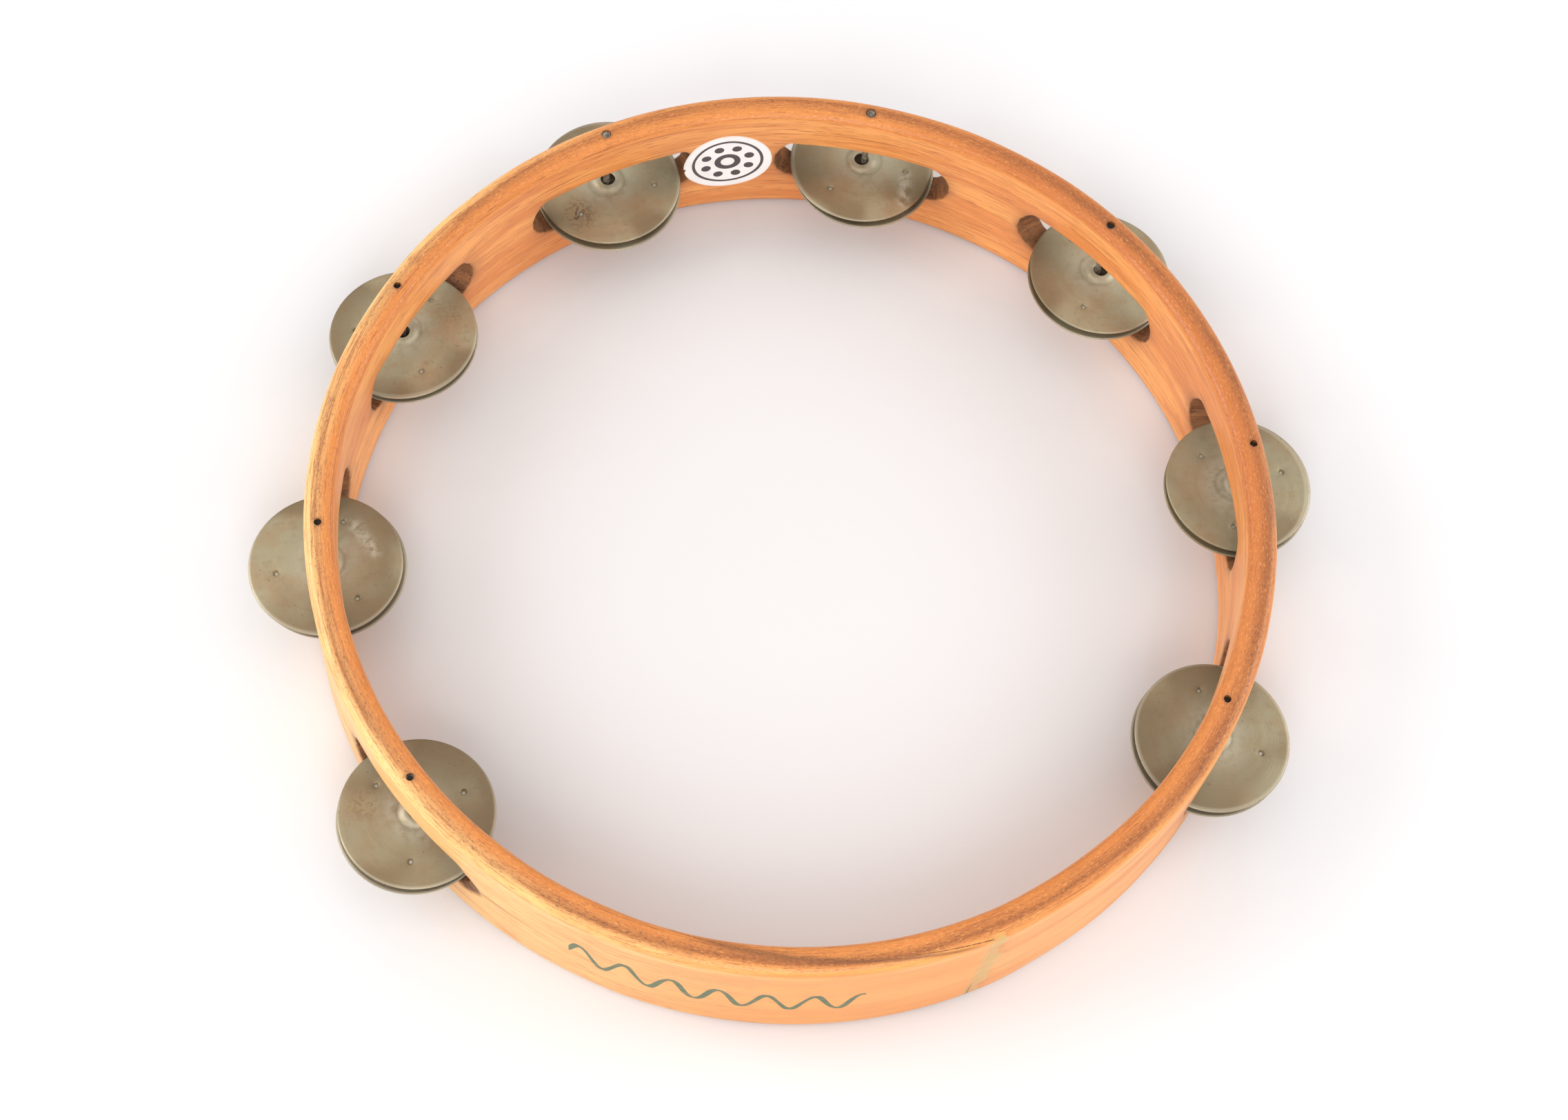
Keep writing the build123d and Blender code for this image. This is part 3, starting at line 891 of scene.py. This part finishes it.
    g.set(Base_Color=g.colour, Metallic=0.0, IOR=1.5)
    g.set(Roughness=g.add(g.step(fibres, 0.3, 0.7, 0.40, 0.56), g.times(wall, 0.3)))
    g.set(Coat_Weight=0.18, Coat_Roughness=0.3)
    normal = g.bump(g.add(g.times(fibres, 0.7), g.times(lines, 0.3)), 0.35, 0.10 * MM)
    normal = g.bump(g.subtract(1.0, g.times(g.step(pits, 0.57, 0.66), rim)), 0.5, 0.15 * MM, normal)
    g.set(Normal=g.bump(g.times(scorch, wall), 0.9, 0.6 * MM, normal))
    return g.material


def glue_material():
    """Hard glue in the scarf joint: pale where it was wiped off the face, brown with dirt on the rims."""
    g = Graph("scarf_glue")
    point, _, _, z = g.place()
    cloud = g.noise(point, 900.0, 3.0, 0.6)
    from_middle = g.size(g.subtract(z, HEIGHT / 2))
    on_rim = g.step(from_middle, HEIGHT / 2 - 2 * MM, HEIGHT / 2 - 0.8 * MM)
    wiped = g.mix(g.step(cloud, 0.35, 0.65), tint(214, 172, 106), tint(236, 200, 134))
    dirt_and_shade = g.mix(g.step(cloud, 0.35, 0.65), tint(112, 68, 34), tint(176, 116, 62))
    g.set(Base_Color=g.mix(on_rim, wiped, dirt_and_shade))
    g.set(Roughness=g.step(cloud, 0.3, 0.7, 0.3, 0.55))
    g.set(Normal=g.bump(cloud, 0.4, 0.1 * MM))
    return g.material


# ---------------------------------------------------------------- metal and paper
OLIVE = tint(172, 163, 134)
OLIVE_BROWN = tint(172, 151, 119)
OLIVE_PALE = tint(204, 197, 177)
OLIVE_DARK = tint(126, 112, 86)
TARNISH = tint(130, 110, 82)
RUST = tint(84, 48, 26)
RUST_HALO = tint(166, 132, 84)
# pale colour painted as the glint in the dimples
GLINT_PALE = tint(244, 240, 230)
CASTS = {  # colour cast of a whole pair and its strength
    1: (OLIVE_DARK, 0.45),
    2: (OLIVE_DARK, 0.35),
    5: (OLIVE_DARK, 0.12),
    7: (TARNISH, 0.15),
    8: (TARNISH, 0.48),
}
RUSTY = {5: (4.0, 1.0), 8: (2.9, 0.3), 6: (0.35, 0.35)}  # turn of a rust patch and its strength
SMEARED = {4: (6.06, -8.0), 7: (0.5, 0.0)}  # turn of a pale smear and how far along it lies


def jingle_material(number):
    """Tarnished nickel plate: olive and brown clouds, pale patches with painted sheen round the boss,
    painted highlights on the rim's edge and in the dimples, painted shade at the boss's foot and round the
    dimples, and rust or a smear on some.
    """
    g = Graph(f"tarnished_nickel_{number}")
    _, x, y, z = g.place()
    from_x = g.divide(g.subtract(x, MIDDLE * math.cos(ANGLES[number])), MM)
    from_y = g.divide(g.subtract(y, MIDDLE * math.sin(ANGLES[number])), MM)
    reach = g.length(from_x, from_y)
    level = g.divide(z, MM)
    shifted = g.vector(g.add(from_x, 71.0 * number), from_y, level)
    cloud = g.noise(shifted, 0.085, 3.0, 0.6)
    mottle = g.noise(shifted, 0.50, 4.0, 0.62)
    grit = g.noise(shifted, 3.2, 2.0, 0.6)
    g.colour = g.mix(g.step(cloud, 0.40, 0.62), OLIVE, OLIVE_BROWN)
    g.paint(g.step(mottle, 0.50, 0.74, 0.0, 0.28), OLIVE_DARK)
    side = g.noise(g.vector(g.add(from_x, 71.0 * number), from_y, 9.0), 0.045, 1.0, 0.5)
    g.paint(g.times(g.step(reach, 5.0, 20.0), g.step(side, 0.42, 0.58, 0.10, 0.85)), TARNISH)
    if number in CASTS:
        cast, share = CASTS[number]
        g.paint(share, cast)
    # pale cloudy patches round the boss: painted sheen, and pale tarnish
    bloom_and_sheen = g.times(g.step(reach, 12.0, 4.5), g.step(mottle, 0.30, 0.68, 0.25, 1.0))
    g.paint(g.times(bloom_and_sheen, 0.42), OLIVE_PALE)
    g.paint(g.step(grit, 0.56, 0.74, 0.0, 0.22), OLIVE_DARK)
    # painted highlight: a pale line along the rim's edge, which also lightens the lower jingle's shaded edge
    g.paint(g.times(g.step(reach, RIM_RADIUS - 0.9, RIM_RADIUS - 0.2), 0.3), OLIVE_PALE)
    # painted shade: a dark ring in the crease at the boss's foot
    g.paint(g.times(g.bell(reach, BOSS_FOOT + 0.1, 0.5), 0.30), OLIVE_DARK)
    specks = g.noise(shifted, 0.95, 2.0, 0.55)
    spots = g.step(specks, 0.70, 0.74, 0.0, 0.5)
    if number in RUSTY:
        turn, strength = RUSTY[number]
        heart_x = g.subtract(from_x, DIMPLE_DISTANCE * math.cos(turn))
        heart_y = g.subtract(from_y, DIMPLE_DISTANCE * math.sin(turn))
        away = g.length(heart_x, heart_y)
        halo = g.step(away, 7.0, 1.5, 0.0, 0.5 * strength)
        g.paint(g.times(halo, g.step(mottle, 0.4, 0.6)), RUST_HALO)
        patch = g.times(g.step(away, 6.5, 1.0, 0.0, strength), g.step(specks, 0.48, 0.54))
        spots = g.largest(spots, patch)
    if number in SMEARED:
        turn, along = SMEARED[number]
        across = g.add(g.times(from_x, -math.sin(turn)), g.times(from_y, math.cos(turn)))
        outwards = g.add(g.times(from_x, math.cos(turn)), g.times(from_y, math.sin(turn)))
        smear = g.times(g.bell(outwards, 12.0, 1.8), g.step(mottle, 0.36, 0.60))
        smear = g.times(smear, g.step(g.size(g.subtract(across, along)), 8.0, 4.0))
        g.paint(g.times(smear, 0.7), OLIVE_PALE)
    g.paint(g.times(spots, 0.85), RUST)
    from_dimple = g.attribute("from_dimple")
    # painted shade: a dark ring on each dimple's walls
    g.paint(g.times(g.bell(from_dimple, 0.80, 0.26), 0.6), OLIVE_DARK)
    # painted highlight: a pale glint at the bottom of each dimple, made less metallic so that it reads
    # bright from every side
    dimple_glint = g.step(from_dimple, 0.60, 0.34)
    g.paint(g.times(dimple_glint, 0.85), GLINT_PALE)
    bare = g.times(g.step(spots, 0.0, 1.0, 0.62, 0.1), g.subtract(1.0, g.times(dimple_glint, 0.6)))
    g.set(Base_Color=g.colour, Metallic=bare)
    g.set(Roughness=g.add(g.step(mottle, 0.3, 0.7, 0.42, 0.52), g.times(spots, 0.3)))
    rings = g.noise(g.vector(reach, g.times(cloud, 0.6), 7.0 * number), 2.4, 2.0, 0.7)
    normal = g.bump(cloud, 0.2, 0.5 * MM)
    normal = g.bump(rings, 0.6, 0.06 * MM, normal)
    g.set(Normal=g.bump(g.add(mottle, g.times(grit, 0.3)), 0.12, 0.08 * MM, normal))
    return g.material


def nail_material():
    """Dull oxidised steel wire with rust patches, black with painted shade and dirt where a head lies deep
    in the wood.
    """
    g = Graph("oxidised_steel")
    point, _, _, z = g.place()
    cloud = g.noise(point, 800.0, 3.0, 0.6)
    g.colour = g.mix(g.step(cloud, 0.35, 0.65), tint(150, 144, 130), tint(92, 84, 72))
    g.paint(g.step(cloud, 0.58, 0.68, 0.0, 0.6), tint(96, 62, 38))
    # painted shade: heads sunk deep in their holes are darkened nearly black, partly dirt
    deep = g.step(z, HEIGHT - 0.88 * MM, HEIGHT - 0.96 * MM)
    dirt_and_shade = g.times(deep, g.step(z, HEIGHT - 4 * MM, HEIGHT - 3 * MM))
    g.paint(g.times(dirt_and_shade, 0.9), tint(30, 22, 16))
    g.set(Base_Color=g.colour, Metallic=0.4)
    g.set(Roughness=g.step(cloud, 0.3, 0.7, 0.45, 0.65))
    g.set(Normal=g.bump(cloud, 0.5, 0.15 * MM))
    return g.material


RING = (0.74, 0.81)  # radii of the printed rings, as shares of the label's radius
HUB = (0.155, 0.295)
DOT_COUNT = 8
DOT_DISTANCE = 0.52
DOT_RADIUS = 0.11
INK_EDGE = 0.005  # how soft the print's edges are


def label_material():
    """White satin paper printed with a plain ring, a circle of dots and a smaller ring."""
    g = Graph("printed_paper")
    point, _, _, _ = g.place()
    across, up = g.attribute("print_x"), g.attribute("print_y")
    reach = g.length(across, up)
    turn = g.math("ARCTAN2", up, across)

    def printed_ring(low, high):
        after = g.step(reach, low - INK_EDGE, low + INK_EDGE)
        return g.times(after, g.step(reach, high + INK_EDGE, high - INK_EDGE))

    sector = 2 * math.pi / DOT_COUNT
    folded = g.subtract(g.math("FLOORED_MODULO", turn, sector), sector / 2)
    dot_x = g.subtract(g.times(reach, g.math("COSINE", folded)), DOT_DISTANCE)
    dot_y = g.times(reach, g.math("SINE", folded))
    dot = g.step(g.length(dot_x, dot_y), DOT_RADIUS + INK_EDGE, DOT_RADIUS - INK_EDGE)
    ink = g.largest(g.largest(printed_ring(*RING), dot), printed_ring(*HUB))
    tooth = g.noise(point, 5200.0, 2.0, 0.6)
    cloud = g.noise(point, 180.0, 2.0, 0.5)
    paper = g.mix(g.step(cloud, 0.35, 0.7), tint(254, 254, 254), tint(247, 247, 246))
    paper = g.mix(g.step(reach, 0.94, 1.0, 0.0, 0.30), paper, tint(226, 206, 176))
    g.colour = g.mix(g.times(ink, g.step(tooth, 0.2, 0.4, 0.86, 0.98)), paper, tint(66, 56, 60))
    g.set(Base_Color=g.colour, Roughness=g.step(ink, 0.0, 1.0, 0.48, 0.36), IOR=1.46)
    g.set(Normal=g.bump(tooth, 0.15, 0.03 * MM))
    return g.material


def floor_material():
    """Plain pale paper backdrop, with painted shade inside the ring, where the ring shields it from light.
    """
    g = Graph("backdrop")
    point, x, y, _ = g.place()
    cloud = g.noise(point, 6.0, 2.0, 0.5)
    reach = g.length(x, y)
    # painted shade: the floor inside the ring is greyer
    ring_shade = g.step(reach, OUTER + 12 * MM, INNER - 14 * MM)
    paper = g.mix(g.step(cloud, 0.3, 0.7), tint(226, 225, 226), tint(222, 221, 222))
    g.set(Base_Color=g.mix(ring_shade, paper, tint(213, 211, 211)), Roughness=0.85)
    return g.material


# ---------------------------------------------------------------- camera, lights, floor
CAMERA_DISTANCE = 0.8032
CAMERA_ELEVATION = math.radians(65.33)
CAMERA_HEADING = math.radians(256.07)
CAMERA_ROLL = math.radians(7.34)
CAMERA_TARGET = Vector((0.21, 4.29, 0.0)) * MM
SENSOR_WIDTH = 36.0
FOCAL_SHARE = 1.8705  # focal length over the frame's width
HORIZON_GLOW = 0.5  # brightness of the white surroundings, level and overhead
ZENITH_GLOW = 1.0
LIGHT_SIZE = 0.9
LIGHTS = {  # each light's heading and elevation in degrees, distance in metres and power in watts
    "left_light": (170, 32, 1.5, 11.5),
    "right_light": (5, 30, 1.5, 8),
    "front_light": (262, 40, 1.6, 11),
}
FLOOR_RINGS = (0.0, 0.4, 1.2, 4.0)


def polar(heading_angle, elevation, distance):
    """A point at a heading and elevation from the origin."""
    level = math.cos(elevation) * distance
    height = math.sin(elevation) * distance
    return Vector((level * math.cos(heading_angle), level * math.sin(heading_angle), height))


def build_camera():
    """The camera above the hand grip, looking down into the hoop."""
    data = bpy.data.cameras.new("camera")
    data.sensor_width = SENSOR_WIDTH
    data.lens = SENSOR_WIDTH * FOCAL_SHARE
    camera = bpy.data.objects.new("camera", data)
    bpy.context.scene.collection.objects.link(camera)
    camera.location = polar(CAMERA_HEADING, CAMERA_ELEVATION, CAMERA_DISTANCE)
    look = (CAMERA_TARGET - camera.location).to_track_quat("-Z", "Y")
    camera.rotation_mode = "QUATERNION"
    camera.rotation_quaternion = look @ Quaternion((0, 0, 1), CAMERA_ROLL)
    bpy.context.scene.camera = camera


def build_light(name, angle, elevation, distance, power):
    """A square soft white light that faces the hoop."""
    data = bpy.data.lights.new(name, "AREA")
    data.shape = "SQUARE"
    data.size = LIGHT_SIZE
    data.energy = power
    light = bpy.data.objects.new(name, data)
    bpy.context.scene.collection.objects.link(light)
    light.location = polar(math.radians(angle), math.radians(elevation), distance)
    light.rotation_euler = (-light.location).to_track_quat("-Z", "Y").to_euler()


def build_studio():
    """White surroundings, soft lights and the floor."""
    world = bpy.data.worlds.new("studio")
    world.use_nodes = True
    tree = world.node_tree
    tree.nodes.clear()
    background = tree.nodes.new("ShaderNodeBackground")
    background.inputs["Color"].default_value = (1.0, 1.0, 1.0, 1.0)
    place = tree.nodes.new("ShaderNodeTexCoord")
    split = tree.nodes.new("ShaderNodeSeparateXYZ")
    glow = tree.nodes.new("ShaderNodeMapRange")
    limits = {"From Min": 0.1, "From Max": 0.95, "To Min": HORIZON_GLOW, "To Max": ZENITH_GLOW}
    for key, value in limits.items():
        glow.inputs[key].default_value = value
    output = tree.nodes.new("ShaderNodeOutputWorld")
    tree.links.new(place.outputs["Generated"], split.inputs[0])
    tree.links.new(split.outputs["Z"], glow.inputs["Value"])
    tree.links.new(glow.outputs["Result"], background.inputs["Strength"])
    tree.links.new(background.outputs[0], output.inputs[0])
    bpy.context.scene.world = world
    for name, values in LIGHTS.items():
        build_light(name, *values)
    rows = [circle_points(radius, even_turns(64), 0.0) for radius in FLOOR_RINGS]
    patches = Patches()
    patches.grid(np.array(rows), closed=True)
    floor = new_object("floor", patches.mesh("floor"), floor_material())
    if floor.data.polygons[0].normal.z < 0:
        floor.data.flip_normals()


# ---------------------------------------------------------------- the whole thing
build_camera()
build_studio()
bpy.context.scene.view_settings.view_transform = "Standard"
build_hoop(wood_material())
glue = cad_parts["scarf_glue_line"]
glue.data.materials.clear()
glue.data.materials.append(glue_material())
steel = nail_material()
for number in STATIONS:
    build_nail(number, steel)
    metal = jingle_material(number)
    build_jingle(number, "upper", 1, metal)
    build_jingle(number, "lower", -1, metal)
build_label(label_material())
